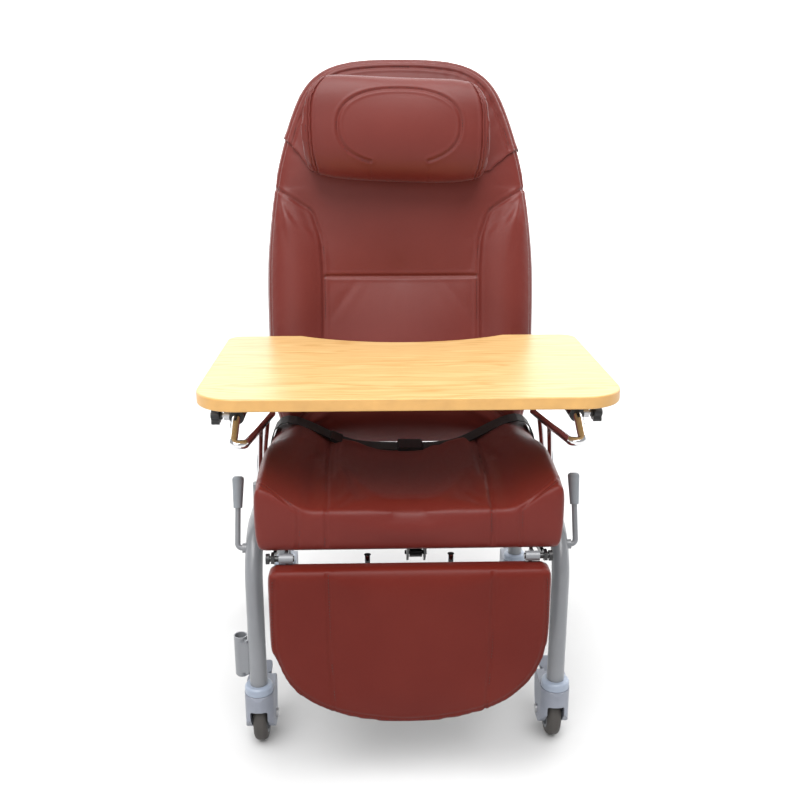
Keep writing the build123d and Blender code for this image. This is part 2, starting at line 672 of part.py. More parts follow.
table_z0 = table_top_z - table_t
top = Pos(0, 0, table_z0) * extrude(table_face(edge_t), amount=table_t)
keep("table_top", top)
band = Pos(0, 0, table_z0) * extrude(table_face(0), amount=table_t)
band = soft(band, band.edges().group_by(Axis.Z)[0] + band.edges().group_by(Axis.Z)[-1], 2.5)
band -= Pos(0, 0, table_z0 - 1) * extrude(table_face(edge_t), amount=table_t + 2)
keep("table_edge", band)

sleeves = []
sleeve_r = arm_r + sleeve_t
screw_y = sleeve_y0 + 26
for side_name, m in sides:
    x = m * arm_x
    ring = cyl_y(sleeve_r, x, sleeve_y0 + 12, sleeve_y0 + 12 + sleeve_len, arm_z)
    stand = block(x - 9, x + 9, sleeve_y0 + 14, sleeve_y0 + 10 + sleeve_len,
                  arm_z + 6, table_z0)
    flange = block(x - 26, x + 26, sleeve_y0 + 8, sleeve_y0 + 16 + sleeve_len,
                   table_z0 - 4, table_z0)
    clamp = ring + stand + flange
    clamp -= cyl_y(arm_r + gap, x, sleeve_y0 - 20, sleeve_y0 + sleeve_len + 40, arm_z)
    clamp -= cyl_x(screw_r + gap, x + m * 8, x + m * 40, screw_y, arm_z)
    sleeves.append(clamp)
    boss = cyl_x(boss_r, x + m * (sleeve_r + 0.4), x + m * (sleeve_r + boss_len), screw_y, arm_z)
    tip = x + m * (arm_r + 0.6)
    knob_x = x + m * (sleeve_r + boss_len + 8)
    keep("clamp_screw_" + side_name,
         boss + cyl_x(screw_r, tip, knob_x, screw_y, arm_z))
    knob = cyl_x(knob_r * 0.72, knob_x, knob_x + m * knob_t, screw_y, arm_z)
    for i in range(5):
        a = radians(90 + 72 * i)
        knob += cyl_x(knob_r * 0.34, knob_x, knob_x + m * knob_t,
                      screw_y + knob_r * 0.66 * cos(a), arm_z + knob_r * 0.66 * sin(a))
    knob += cyl_x(knob_r * 0.45, knob_x + m * 1.0, knob_x - m * 4.0, screw_y, arm_z)
    knob -= cyl_x(screw_r, knob_x - m * 5, knob_x, screw_y, arm_z)
    keep("clamp_knob_" + side_name, knob)
keep("table_sleeves", *sleeves)

# ---------------------------------------------------------------- levers
for side_name, m in sides:
    x_in = m * (leg_x + frame_r + 2.0)
    x_out = m * (leg_x + frame_r + lever_bush_len + 9.0)
    lean = radians(lever_lean)
    top = (x_out, lever_y + (lever_up + grip_len) * sin(lean),
           lever_z + (lever_up + grip_len) * cos(lean))
    bar = rod([(x_in, lever_y, lever_z), (x_out, lever_y, lever_z), top], [lever_bend], lever_r)
    d = Vector(0, sin(lean), cos(lean))
    g0 = Vector(x_out, lever_y, lever_z) + d * lever_up
    place = Plane(origin=g0, x_dir=(1, 0, 0), z_dir=d)
    grip = place * (Pos(0, 0, (grip_len + 6) / 2) * Cone(8.0, 11.0, grip_len + 6))
    grip = soft(grip, grip.edges().group_by(Axis.Z)[-1], 6)
    grip -= bar
    keep("lever_grip_" + side_name, max(grip.solids(), key=lambda s: s.volume))
    keep("lever_rod_" + side_name, bar)

# ---------------------------------------------------------------- gas spring
dy, dz = arm_y - strut_y, arm_zz - strut_z
strut_len = hypot(dy, dz)
uy, uz = dy / strut_len, dz / strut_len
d = Vector(0, uy, uz)
foot_pt = Vector(strut_x, strut_y, strut_z)
axis_plane = Plane(origin=foot_pt, x_dir=(1, 0, 0), z_dir=d)
cyl_len = strut_body
body = axis_plane * (Pos(0, 0, 14 + cyl_len / 2) * Cylinder(strut_r, cyl_len))
eye = cyl_x(9, strut_x - 12, strut_x + 12, strut_y, strut_z)
neck = axis_plane * (Pos(0, 0, 10) * Cylinder(6, 12))
body = body + eye + neck
body -= cyl_x(strut_pin_r + gap, strut_x - 20, strut_x + 20, strut_y, strut_z)
bore_len = 150.0
bore = axis_plane * (Pos(0, 0, 14 + cyl_len - bore_len / 2 + 1)
                     * Cylinder(strut_rod_r + gap, bore_len))
body -= bore
keep("gas_spring_cylinder", body)
rod_in = 48.0
rod_from = 14 + cyl_len - rod_in
rod_to = strut_len - strut_eye - 1.5
piston = axis_plane * (Pos(0, 0, (rod_from + rod_to) / 2)
                       * Cylinder(strut_rod_r, rod_to - rod_from))
end_eye = cyl_x(strut_eye + 3.5, strut_x - 10, strut_x + 10, arm_y, arm_zz)
piston = piston + end_eye
piston -= cyl_x(strut_eye, strut_x - 20, strut_x + 20, arm_y, arm_zz)
keep("gas_spring_rod", piston)

# ---------------------------------------------------------------- belt
def belt_strip():
    """Webbing across the rear of the seat, over the bolsters and down both sides."""
    y_mid = seat_back - 52.0
    t = belt_t
    lift = 1.0
    rise = seat_rear_z + lift
    sag = rise - 46.0
    top_pts = [(-seat_half - 8, 447.0), (-seat_half - 7, rise - 40), (-seat_half + 14, rise + 3),
               (-seat_half + 66, rise - 6), (-110, sag), (0, sag - 9), (110, sag - 2),
               (seat_half - 66, rise - 6), (seat_half - 14, rise + 3),
               (seat_half + 7, rise - 40), (seat_half + 8, 447.0)]
    return y_mid, top_pts, t


by, bpts, bt = belt_strip()
outer_line = Spline(*[(x, by - belt_w / 2, z) for x, z in bpts])
runs = 48
low_row, high_row = [], []
for i in range(runs + 1):
    at, along = outer_line @ (i / runs), outer_line % (i / runs)
    low_row.append((at.X, at.Y, at.Z))
    high_row.append((at.X - along.Z * bt, at.Y, at.Z + along.X * bt))
belt_face = make_face(Polyline(*low_row, *reversed(high_row), close=True))
webbing = extrude(belt_face, amount=belt_w, dir=(0, 1, 0))
buckle_x, buckle_w, buckle_t = 16.0, 52.0, 13.0
adjuster_x, adjuster_w, adjuster_t = -136.0, 26.0, 7.0
fittings = []
for fx, fw, ft, over in ((buckle_x, buckle_w, buckle_t, 6.0), (adjuster_x, adjuster_w,
                                                               adjuster_t, 3.0)):
    share = min(range(101), key=lambda i: abs((outer_line @ (i / 100)).X - fx)) / 100
    at, slope_at = outer_line @ share, outer_line % share
    place = Plane(origin=(at.X, by, at.Z + bt / 2), x_dir=slope_at, z_dir=(0, -1, 0))
    body = place * Box(fw, ft, belt_w + over)
    body = soft(body, body.edges().filter_by(Axis.Y), ft * 0.3)
    body -= webbing
    body -= cushion
    fittings.append(max(body.solids(), key=lambda s: s.volume))
keep("belt_fittings", *fittings)
keep("belt_webbing", max(webbing.solids(), key=lambda s: s.volume))

# ---------------------------------------------------------------- place and write
low_pt = [1e9] * 3
high_pt = [-1e9] * 3
for solids in NODES.values():
    for s in solids:
        b = s.bounding_box()
        for i, (lo, hi) in enumerate(((b.min.X, b.max.X), (b.min.Y, b.max.Y),
                                      (b.min.Z, b.max.Z))):
            low_pt[i] = min(low_pt[i], lo)
            high_pt[i] = max(high_pt[i], hi)
shift = (-(low_pt[0] + high_pt[0]) / 2, -(low_pt[1] + high_pt[1]) / 2, -low_pt[2])

if __name__ == "__main__":
    for name, solids in NODES.items():
        moved = [s.moved(Location(shift)) for s in solids]
        shape = moved[0] if len(moved) == 1 else Compound(children=moved)
        shape.label = name
        export_step(shape, os.path.join("parts", name + ".step"))
    print(len(NODES), "nodes; size", [round(h - l, 1) for l, h in zip(low_pt, high_pt)],
          "shift", [round(v, 2) for v in shift])
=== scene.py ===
"""Patient recliner chair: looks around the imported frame."""
import math

import bmesh
import bpy
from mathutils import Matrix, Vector
from mathutils.bvhtree import BVHTree
from mathutils.kdtree import KDTree


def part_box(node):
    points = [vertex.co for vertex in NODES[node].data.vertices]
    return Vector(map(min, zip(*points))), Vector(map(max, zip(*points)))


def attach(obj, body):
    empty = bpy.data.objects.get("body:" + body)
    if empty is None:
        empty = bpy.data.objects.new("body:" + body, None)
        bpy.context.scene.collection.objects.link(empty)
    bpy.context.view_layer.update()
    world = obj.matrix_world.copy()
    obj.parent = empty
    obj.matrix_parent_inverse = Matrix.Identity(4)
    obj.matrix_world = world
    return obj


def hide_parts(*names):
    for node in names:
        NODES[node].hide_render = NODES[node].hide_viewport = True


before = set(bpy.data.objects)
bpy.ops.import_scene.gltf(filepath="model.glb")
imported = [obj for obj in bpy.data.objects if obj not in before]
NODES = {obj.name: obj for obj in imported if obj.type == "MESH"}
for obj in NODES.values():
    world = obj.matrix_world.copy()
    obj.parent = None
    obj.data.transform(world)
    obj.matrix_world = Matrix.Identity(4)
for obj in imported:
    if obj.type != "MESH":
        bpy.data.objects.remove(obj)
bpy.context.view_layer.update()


# ------------------------------------------------------------------ materials
def nodes_of(mat):
    mat.use_nodes = True
    return mat.node_tree.nodes, mat.node_tree.links


def add(ns, kind, **vals):
    n = ns.new(kind)
    for k, v in vals.items():
        if k in n.inputs:
            n.inputs[k].default_value = v
        else:
            setattr(n, k, v)
    return n


def base_mat(name, color, rough=0.5, metal=0.0, spec=0.5):
    mat = bpy.data.materials.new(name)
    ns, ln = nodes_of(mat)
    b = ns["Principled BSDF"]
    b.inputs["Base Color"].default_value = (*color, 1)
    b.inputs["Roughness"].default_value = rough
    b.inputs["Metallic"].default_value = metal
    b.inputs["Specular IOR Level"].default_value = spec
    return mat, ns, ln, b


def ramp(ns, ln, src, stops):
    r = ns.new("ShaderNodeValToRGB")
    els = r.color_ramp.elements
    while len(els) < len(stops):
        els.new(0.5)
    for e, (p, c) in zip(els, stops):
        e.position = p
        e.color = (*c, 1) if len(c) == 3 else c
    ln.new(src, r.inputs[0])
    return r


def coords(ns, ln, scale=(1, 1, 1)):
    tc = ns.new("ShaderNodeTexCoord")
    m = ns.new("ShaderNodeMapping")
    m.inputs["Scale"].default_value = scale
    ln.new(tc.outputs["Object"], m.inputs["Vector"])
    return m.outputs["Vector"]


def bump(ns, ln, b, height, strength, dist, prev=None):
    bp = ns.new("ShaderNodeBump")
    bp.inputs["Strength"].default_value = strength
    bp.inputs["Distance"].default_value = dist
    ln.new(height, bp.inputs["Height"])
    if prev is not None:
        ln.new(prev, bp.inputs["Normal"])
    ln.new(bp.outputs["Normal"], b.inputs["Normal"])
    return bp.outputs["Normal"]


def vinyl(name, color=(0.120, 0.0150, 0.0105), light=(0.150, 0.0225, 0.0165), spec=0.32):
    """Grained upholstery vinyl: pebbled cells, fine creases, soft sheen."""
    mat, ns, ln, b = base_mat(name, color, 0.42, 0, spec)
    vec = coords(ns, ln)
    big = add(ns, "ShaderNodeTexNoise", Scale=5.0, Detail=3.0, Roughness=0.5)
    ln.new(vec, big.inputs["Vector"])
    fine = add(ns, "ShaderNodeTexNoise", Scale=260.0, Detail=4.0, Roughness=0.6)
    ln.new(vec, fine.inputs["Vector"])
    mix = ns.new("ShaderNodeMath")
    mix.operation = "MULTIPLY_ADD"
    mix.inputs[1].default_value = 0.35
    ln.new(fine.outputs["Fac"], mix.inputs[0])
    ln.new(big.outputs["Fac"], mix.inputs[2])
    cr = ramp(ns, ln, mix.outputs[0], [(0.45, color), (0.95, light)])
    ln.new(cr.outputs[0], b.inputs["Base Color"])
    warp = add(ns, "ShaderNodeTexNoise", Scale=90.0, Detail=2.0)
    ln.new(vec, warp.inputs["Vector"])
    vm = ns.new("ShaderNodeVectorMath")
    vm.operation = "MULTIPLY_ADD"
    vm.inputs[1].default_value = (0.004, 0.004, 0.004)
    ln.new(warp.outputs["Color"], vm.inputs[0])
    ln.new(vec, vm.inputs[2])
    vor = add(ns, "ShaderNodeTexVoronoi", Scale=620.0)
    vor.feature = "DISTANCE_TO_EDGE"
    ln.new(vm.outputs[0], vor.inputs["Vector"])
    cells = ramp(ns, ln, vor.outputs["Distance"], [(0.0, (0, 0, 0)), (0.22, (1, 1, 1))])
    n1 = bump(ns, ln, b, cells.outputs[0], 0.20, 0.0004)
    bump(ns, ln, b, fine.outputs["Fac"], 0.10, 0.0006, n1)
    rr = ramp(ns, ln, fine.outputs["Fac"], [(0.3, (0.36,) * 3), (0.75, (0.50,) * 3)])
    ln.new(rr.outputs[0], b.inputs["Roughness"])
    b.inputs["Sheen Weight"].default_value = 0.06
    b.inputs["Sheen Roughness"].default_value = 0.4
    return mat


# thread coloured much darker than the vinyl: partly painted shade, standing in for the shade in the
# stitch holes along the seams
def thread_mat():
    mat, ns, ln, b = base_mat("stitch_thread", (0.04, 0.006, 0.005), 0.6)
    vec = coords(ns, ln, (1, 1, 1))
    w = add(ns, "ShaderNodeTexWave", Scale=900.0, Distortion=1.0)
    ln.new(vec, w.inputs["Vector"])
    bump(ns, ln, b, w.outputs["Fac"], 0.3, 0.0003)
    cr = ramp(ns, ln, w.outputs["Fac"], [(0, (0.022, 0.0035, 0.003)), (1, (0.055, 0.009, 0.007))])
    ln.new(cr.outputs[0], b.inputs["Base Color"])
    return mat


def paint(name, color, rough=0.32, fleck=0.06):
    """Powder coat: faint orange peel, slight tone change and dull wear."""
    mat, ns, ln, b = base_mat(name, color, rough, 0.0, 0.5)
    vec = coords(ns, ln)
    peel = add(ns, "ShaderNodeTexNoise", Scale=420.0, Detail=2.0)
    ln.new(vec, peel.inputs["Vector"])
    bump(ns, ln, b, peel.outputs["Fac"], 0.08, 0.0003)
    tone = add(ns, "ShaderNodeTexNoise", Scale=14.0, Detail=4.0)
    ln.new(vec, tone.inputs["Vector"])
    lo = tuple(c * (1 - fleck) for c in color)
    hi = tuple(min(1, c * (1 + fleck)) for c in color)
    cr = ramp(ns, ln, tone.outputs["Fac"], [(0.3, lo), (0.7, hi)])
    ln.new(cr.outputs[0], b.inputs["Base Color"])
    rr = ramp(ns, ln, tone.outputs["Fac"], [(0.3, (rough * 0.85,) * 3), (0.7, (rough * 1.2,) * 3)])
    ln.new(rr.outputs[0], b.inputs["Roughness"])
    b.inputs["Coat Weight"].default_value = 0.25
    b.inputs["Coat Roughness"].default_value = 0.15
    return mat


def metal(name, color, rough, streak=0.0):
    mat, ns, ln, b = base_mat(name, color, rough, 1.0)
    vec = coords(ns, ln, (1, 1, 1))
    sm = add(ns, "ShaderNodeTexNoise", Scale=60.0, Detail=5.0, Roughness=0.7)
    ln.new(vec, sm.inputs["Vector"])
    rr = ramp(ns, ln, sm.outputs["Fac"], [(0.35, (rough * 0.7,) * 3),
                                          (0.75, (min(1, rough * 1.5 + streak),) * 3)])
    ln.new(rr.outputs[0], b.inputs["Roughness"])
    return mat


def plastic(name, color, rough=0.45, grain=0.25, scale=700.0):
    mat, ns, ln, b = base_mat(name, color, rough, 0.0, 0.5)
    vec = coords(ns, ln)
    g = add(ns, "ShaderNodeTexNoise", Scale=scale, Detail=2.0)
    ln.new(vec, g.inputs["Vector"])
    bump(ns, ln, b, g.outputs["Fac"], grain, 0.0003)
    tone = add(ns, "ShaderNodeTexNoise", Scale=22.0, Detail=5.0)
    ln.new(vec, tone.inputs["Vector"])
    lo = tuple(c * 0.9 for c in color)
    hi = tuple(min(1, c * 1.1) for c in color)
    cr = ramp(ns, ln, tone.outputs["Fac"], [(0.3, lo), (0.7, hi)])
    ln.new(cr.outputs[0], b.inputs["Base Color"])
    rr = ramp(ns, ln, tone.outputs["Fac"], [(0.3, (rough * 0.85,) * 3), (0.7, (rough * 1.15,) * 3)])
    ln.new(rr.outputs[0], b.inputs["Roughness"])
    return mat


def oak(name):
    """Light oak laminate, grain along X with cathedral figure and short pores."""
    mat, ns, ln, b = base_mat(name, (0.75, 0.47, 0.19), 0.34, 0.0, 0.4)
    vec = coords(ns, ln, (1.0, 9.0, 9.0))
    warp = add(ns, "ShaderNodeTexNoise", Scale=2.2, Detail=3.0)
    ln.new(vec, warp.inputs["Vector"])
    vm = ns.new("ShaderNodeVectorMath")
    vm.operation = "MULTIPLY_ADD"
    vm.inputs[1].default_value = (0.0, 0.9, 0.0)
    ln.new(warp.outputs["Color"], vm.inputs[0])
    ln.new(vec, vm.inputs[2])
    rings = add(ns, "ShaderNodeTexWave", Scale=3.2, Distortion=1.2, Detail=3.0)
    rings.bands_direction = "Y"
    rings.inputs["Detail Scale"].default_value = 1.2
    ln.new(vm.outputs[0], rings.inputs["Vector"])
    base = ramp(ns, ln, rings.outputs["Fac"], [(0.0, (0.62, 0.405, 0.175)), (0.6, (0.575, 0.36, 0.145)),
                                               (1.0, (0.50, 0.29, 0.10))])
    pv = coords(ns, ln, (18.0, 420.0, 420.0))
    pore = add(ns, "ShaderNodeTexNoise", Scale=1.0, Detail=3.0, Roughness=0.65)
    ln.new(pv, pore.inputs["Vector"])
    pr = ramp(ns, ln, pore.outputs["Fac"], [(0.52, (0, 0, 0)), (0.72, (1, 1, 1))])
    mx = ns.new("ShaderNodeMix")
    mx.data_type = "RGBA"
    mx.inputs["B"].default_value = (0.43, 0.235, 0.075, 1)
    ln.new(base.outputs[0], mx.inputs["A"])
    ml = ns.new("ShaderNodeMath")
    ml.operation = "MULTIPLY"
    ml.inputs[1].default_value = 0.55
    ln.new(pr.outputs[0], ml.inputs[0])
    ln.new(ml.outputs[0], mx.inputs["Factor"])
    ln.new(mx.outputs["Result"], b.inputs["Base Color"])
    bump(ns, ln, b, pr.outputs[0], 0.06, 0.0003)
    return mat


def webbing_mat(name, color=(0.0045, 0.0045, 0.005)):
    mat, ns, ln, b = base_mat(name, color, 0.62, 0.0, 0.35)
    vec = coords(ns, ln, (1, 1, 1))
    w1 = add(ns, "ShaderNodeTexWave", Scale=260.0, Distortion=0.3)
    w1.bands_direction = "X"
    w2 = add(ns, "ShaderNodeTexWave", Scale=190.0, Distortion=0.3)
    w2.bands_direction = "Y"
    for w in (w1, w2):
        ln.new(vec, w.inputs["Vector"])
    mu = ns.new("ShaderNodeMath")
    mu.operation = "MULTIPLY"
    ln.new(w1.outputs["Fac"], mu.inputs[0])
    ln.new(w2.outputs["Fac"], mu.inputs[1])
    bump(ns, ln, b, mu.outputs[0], 0.5, 0.0005)
    cr = ramp(ns, ln, mu.outputs[0], [(0, tuple(c * 0.6 for c in color)),
                                      (1, tuple(min(1, c * 2.6) for c in color))])
    ln.new(cr.outputs[0], b.inputs["Base Color"])
    b.inputs["Sheen Weight"].default_value = 0.04
    return mat


M_VINYL = vinyl("vinyl")
# painted shade: the seat uses a darker, duller copy of the back's vinyl, standing in for the table's
# shadow and the dimmer light low on the chair
M_VINYL_SEAT_SHADED = vinyl("vinyl_seat_painted_shade", (0.108, 0.0105, 0.0070), (0.132, 0.0165, 0.0115), 0.24)
# painted shade: the legrest uses an even darker, duller copy of the vinyl, standing in for the weaker
# light that reaches the lowest part of the chair
M_VINYL_LEG_SHADED = vinyl("vinyl_legrest_painted_shade", (0.092, 0.0072, 0.0036), (0.112, 0.0115, 0.0065), 0.17)
M_THREAD = thread_mat()
M_PAINT = paint("frame_paint", (0.185, 0.192, 0.205))
M_CHROME = metal("chrome", (0.80, 0.80, 0.81), 0.06)
M_STEEL = metal("steel", (0.52, 0.52, 0.53), 0.32, 0.1)
M_CASTOR = plastic("castor_grey", (0.205, 0.22, 0.26), 0.42)
M_CUP = plastic("castor_cup", (0.26, 0.30, 0.37), 0.36)
M_TYRE = plastic("tyre", (0.045, 0.040, 0.036), 0.62, 0.4, 500)
M_HUB = plastic("hub", (0.16, 0.17, 0.18), 0.5)
M_BLACK = plastic("black_plastic", (0.010, 0.010, 0.011), 0.38)
M_PAD = plastic("arm_pad", (0.16, 0.18, 0.20), 0.55, 0.4, 500)
M_GRIP = plastic("grip", (0.215, 0.235, 0.255), 0.55, 0.4, 500)
M_BLACKMETAL = paint("black_metal", (0.012, 0.012, 0.013), 0.3)
M_OAK = oak("oak")
M_BAND = plastic("edge_band", (0.56, 0.315, 0.10), 0.35, 0.1)
M_WEB = webbing_mat("webbing")
M_BLACKBOARD = plastic("board_liner", (0.018, 0.017, 0.018), 0.7, 0.5, 400)


def assign(node, mat):
    o = NODES[node]
    o.data.materials.clear()
    o.data.materials.append(mat)


# first match wins; what none of these names is painted like the side frames
BY_NAME = ((("seat_board", "legrest_board"), M_BLACKBOARD),
           (("seat_cushion", "back_cushion", "back_board", "head_pillow", "pillow_hood",
             "legrest_pad"), M_VINYL),
           (("table_top",), M_OAK),
           (("table_edge",), M_BAND),
           (("table_sleeves", "hinge_caps", "belt_fittings", "clamp_knob"), M_BLACK),
           (("castor_fork", "castor_pedal"), M_CASTOR),
           (("castor_cups",), M_CUP),
           (("castor_tyre",), M_TYRE),
           (("castor_hub",), M_HUB),
           (("castor_axle", "clamp_screw", "seat_screws"), M_STEEL),
           (("armrest_tube", "legrest_rods", "gas_spring_rod"), M_CHROME),
           (("belt_webbing",), M_WEB),
           (("arm_pads",), M_PAD),
           (("lever_grip",), M_GRIP),
           (("gas_spring_cylinder", "base_lugs"), M_BLACKMETAL))


def pick(n):
    for names, mat in BY_NAME:
        if n.startswith(names):
            return mat
    return M_PAINT


for n in NODES:
    assign(n, pick(n))

# ------------------------------------------------------------------ frames of reference
SEAT_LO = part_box("seat_cushion")[0]
OY = SEAT_LO[1] + 0.088          # front-leg plane in the row frame
TILT = math.radians(12.0)
UP = Vector((0, math.sin(TILT), math.cos(TILT)))
REAR = Vector((0, math.cos(TILT), -math.sin(TILT)))
FOOT = Vector((0, OY + 0.370, 0.475))


def on_back(x, s, w):
    """Point x across, s up the back, w behind its front plane."""
    return FOOT + UP * s + REAR * w + Vector((x, 0, 0))


def back_coords(p):
    d = Vector(p) - FOOT
    return p[0], d.dot(UP), d.dot(REAR)


# ------------------------------------------------------------------ mesh tools
def new_object(name, verts, faces, mat):
    me = bpy.data.meshes.new(name)
    me.from_pydata([tuple(v) for v in verts], [], faces)
    me.update()
    o = bpy.data.objects.new(name, me)
    bpy.context.scene.collection.objects.link(o)
    me.materials.append(mat)
    me.polygons.foreach_set("use_smooth", [True] * len(me.polygons))
    return o


def copy_node(node, name):
    o = bpy.data.objects.new(name, NODES[node].data.copy())
    bpy.context.scene.collection.objects.link(o)
    o.data.materials.clear()
    return o


def apply_mods(o):
    bpy.context.view_layer.update()
    dg = bpy.context.evaluated_depsgraph_get()
    me = bpy.data.meshes.new_from_object(o.evaluated_get(dg))
    o.modifiers.clear()
    old = o.data
    o.data = me
    bpy.data.meshes.remove(old)
    return o


def remesh(o, size):
    m = o.modifiers.new("remesh", "REMESH")
    m.mode = "VOXEL"
    m.voxel_size = size
    m.use_smooth_shade = True
    return apply_mods(o)


def move_verts(o, fn):
    """fn(co, normal) -> new co, for every vertex."""
    me = o.data
    normals = [v.normal.copy() for v in me.vertices]
    for v, n in zip(me.vertices, normals):
        v.co = fn(v.co.copy(), n)
    me.update()


def relax(o, rounds, factor=0.5):
    m = o.modifiers.new("smooth", "SMOOTH")
    m.factor = factor
    m.iterations = rounds
    return apply_mods(o)


def puff(o, pinned, pressure=4.0, cap=0.02, frames=20, stiff=12.0, bend=1.5):
    """Inflate a closed mesh as cloth, held where pinned(co) is above zero."""
    me = o.data
    rest = [v.co.copy() for v in me.vertices]
    g = o.vertex_groups.new(name="held")
    for i, co in enumerate(rest):
        w = pinned(co)
        if w > 0:
            g.add([i], min(1.0, w), "REPLACE")
    m = o.modifiers.new("cloth", "CLOTH")
    st = m.settings
    st.quality = 4
    st.mass = 0.25
    st.air_damping = 4.0
    st.tension_stiffness = st.compression_stiffness = stiff
    st.shear_stiffness = stiff * 0.5
    st.bending_stiffness = bend
    st.use_pressure = True
    st.uniform_pressure_force = pressure
    st.vertex_group_mass = g.name
    st.effector_weights.gravity = 0.0
    m.point_cache.frame_start = 1
    m.point_cache.frame_end = frames + 1
    sc = bpy.context.scene
    for f in range(1, frames + 1):
        sc.frame_set(f)
    apply_mods(o)
    for v, r in zip(o.data.vertices, rest):
        d = v.co - r
        if d.length > cap:
            v.co = r + d * (cap / d.length)
    o.data.update()
    sc.frame_set(1)
    o.vertex_groups.clear()
    return o


def finer(o):
    """One subdivision."""
    m = o.modifiers.new("sub", "SUBSURF")
    m.levels = m.render_levels = 1
    return apply_mods(o)


def dense(points, step=0.002):
    out = []
    for p, q in zip(points, points[1:]):
        n = max(1, int((q - p).length / step))
        out += [p.lerp(q, i / n) for i in range(n)]
    out.append(points[-1])
    return out


def smooth_path(points, step=0.004):
    """Catmull-Rom through the points, evenly stepped."""
    P = [Vector(p) for p in points]
    n = len(P)
    out = []
    for i in range(n - 1):
        p1, p2 = P[i], P[i + 1]
        p0 = P[i - 1] if i > 0 else p1 * 2 - p2
        p3 = P[i + 2] if i + 2 < n else p2 * 2 - p1
        k = max(2, int((p2 - p1).length / step))
        for j in range(k):
            t = j / k
            out.append(0.5 * ((2 * p1) + (p2 - p0) * t + (2 * p0 - 5 * p1 + 4 * p2 - p3) * t * t
                              + (3 * p1 - p0 - 3 * p2 + p3) * t ** 3))
    out.append(P[-1])
    return out


def tree_of(o):
    bpy.context.view_layer.update()
    return BVHTree.FromPolygons([v.co for v in o.data.vertices],
                                [p.vertices for p in o.data.polygons])


def cast(tree, points, direction, back=0.25):
    """Points laid on a surface along a direction: [(place, normal)]."""
    d = Vector(direction).normalized()
    out = []
    for p in points:
        hit, nor, _, _ = tree.ray_cast(p - d * back, d, back * 2)
        if hit is not None:
            if nor.dot(d) > 0:
                nor = -nor
            out.append((hit, nor))
    return out


def path_tree(paths):
    pts = [p for path in paths for p in path]
    kd = KDTree(len(pts))
    for i, p in enumerate(pts):
        kd.insert(p, i)
    kd.balance()
    return kd


def groove(o, paths, width=0.004, depth=0.003, shoulder=0.0):
    """Press sewn lines into a surface."""
    kd = path_tree([dense([p for p, _ in path], 0.0015) for path in paths if len(path) > 1])

    def fn(co, n):
        _, _, d = kd.find(co)
        if d > width * 4:
            return co
        k = math.exp(-(d / width) ** 2)
        sh = math.exp(-((d - width * 2.2) / (width * 1.1)) ** 2)
        return co - n * (depth * k - shoulder * sh)
    move_verts(o, fn)


def stitches(name, paths, side=0.0, length=0.0036, gap=0.0022, r=0.00055, lift=0.0002):
    """Short thread stitches along laid paths, offset sideways."""
    verts, faces = [], []
    for path in paths:
        if len(path) < 3:
            continue
        pts = [p for p, _ in path]
        nor = [n for _, n in path]
        dist = [0.0]
        for p, q in zip(pts, pts[1:]):
            dist.append(dist[-1] + (q - p).length)
        total = dist[-1]
        at = 0.002
        k = 0

        def sample(d):
            nonlocal k
            while k < len(dist) - 2 and dist[k + 1] < d:
                k += 1
            t = (d - dist[k]) / max(1e-9, dist[k + 1] - dist[k])
            return pts[k].lerp(pts[k + 1], t), nor[k].lerp(nor[k + 1], t).normalized()
        while at + length < total:
            a, na = sample(at)
            b2, nb = sample(at + length)
            d = (b2 - a)
            if d.length > 1e-6:
                t = d.normalized()
                n = (na + nb).normalized()
                sd = n.cross(t).normalized()
                off = sd * side
                base = len(verts)
                for frac, rr, up in ((0.0, 0.35, -0.3), (0.2, 1.0, 0.5), (0.8, 1.0, 0.5),
                                     (1.0, 0.35, -0.3)):
                    c = a.lerp(b2, frac) + off + n * (lift + r * up)
                    for j in range(5):
                        an = j * math.tau / 5
                        verts.append(c + (sd * math.cos(an) + n * math.sin(an)) * r * rr)
                for ring in range(3):
                    for j in range(5):
                        i0 = base + ring * 5 + j
                        i1 = base + ring * 5 + (j + 1) % 5
                        faces.append((i0, i1, i1 + 5, i0 + 5))
                faces.append(tuple(base + j for j in reversed(range(5))))
                faces.append(tuple(base + 15 + j for j in range(5)))
            at += length + gap
    if not verts:
        return None
    return new_object(name, verts, faces, M_THREAD)


def ring_tube(name, pts, r, mat, sides=8):
    """Round tube along a closed ring of points."""
    verts, faces = [], []
    n = len(pts)
    up = Vector((0, 0, 1))
    prev = None
    for i, p in enumerate(pts):
        t = (pts[(i + 1) % n] - pts[i - 1]).normalized()
        nn = prev - t * prev.dot(t) if prev is not None else up - t * up.dot(t)
        if nn.length < 1e-4:
            nn = Vector((1, 0, 0)) - t * t.x
        nn = (nn - t * nn.dot(t)).normalized()
        prev = nn
        sd = t.cross(nn).normalized()
        for j in range(sides):
            an = j * math.tau / sides
            verts.append(p + (sd * math.cos(an) + nn * math.sin(an)) * r)
    for i in range(n):
        for j in range(sides):
            i0, i1 = i * sides + j, i * sides + (j + 1) % sides
            k = ((i + 1) % n) * sides
            faces.append((i0, i1, k + (j + 1) % sides, k + j))
    return new_object(name, verts, faces, mat)


def near(kd, co, r):
    """1 on the stored points, falling to 0 at distance r."""
    return max(0.0, 1.0 - kd.find(co)[2] / r)


def done(o, body, slot_name, *nodes, mat=None, fill=None):
    """Give a finished piece its material, smooth shading and body, and hide the nodes it replaces;
    slot_name and fill are not used.
    """
    if mat is not None:
        o.data.materials.clear()
        o.data.materials.append(mat)
    o.data.polygons.foreach_set("use_smooth", [True] * len(o.data.polygons))
    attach(o, body)
    if nodes:
        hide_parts(*nodes)
    return o


# ------------------------------------------------------------------ seat cushion
FRONT_DIR = Vector((0, 0.75, -0.66)).normalized()


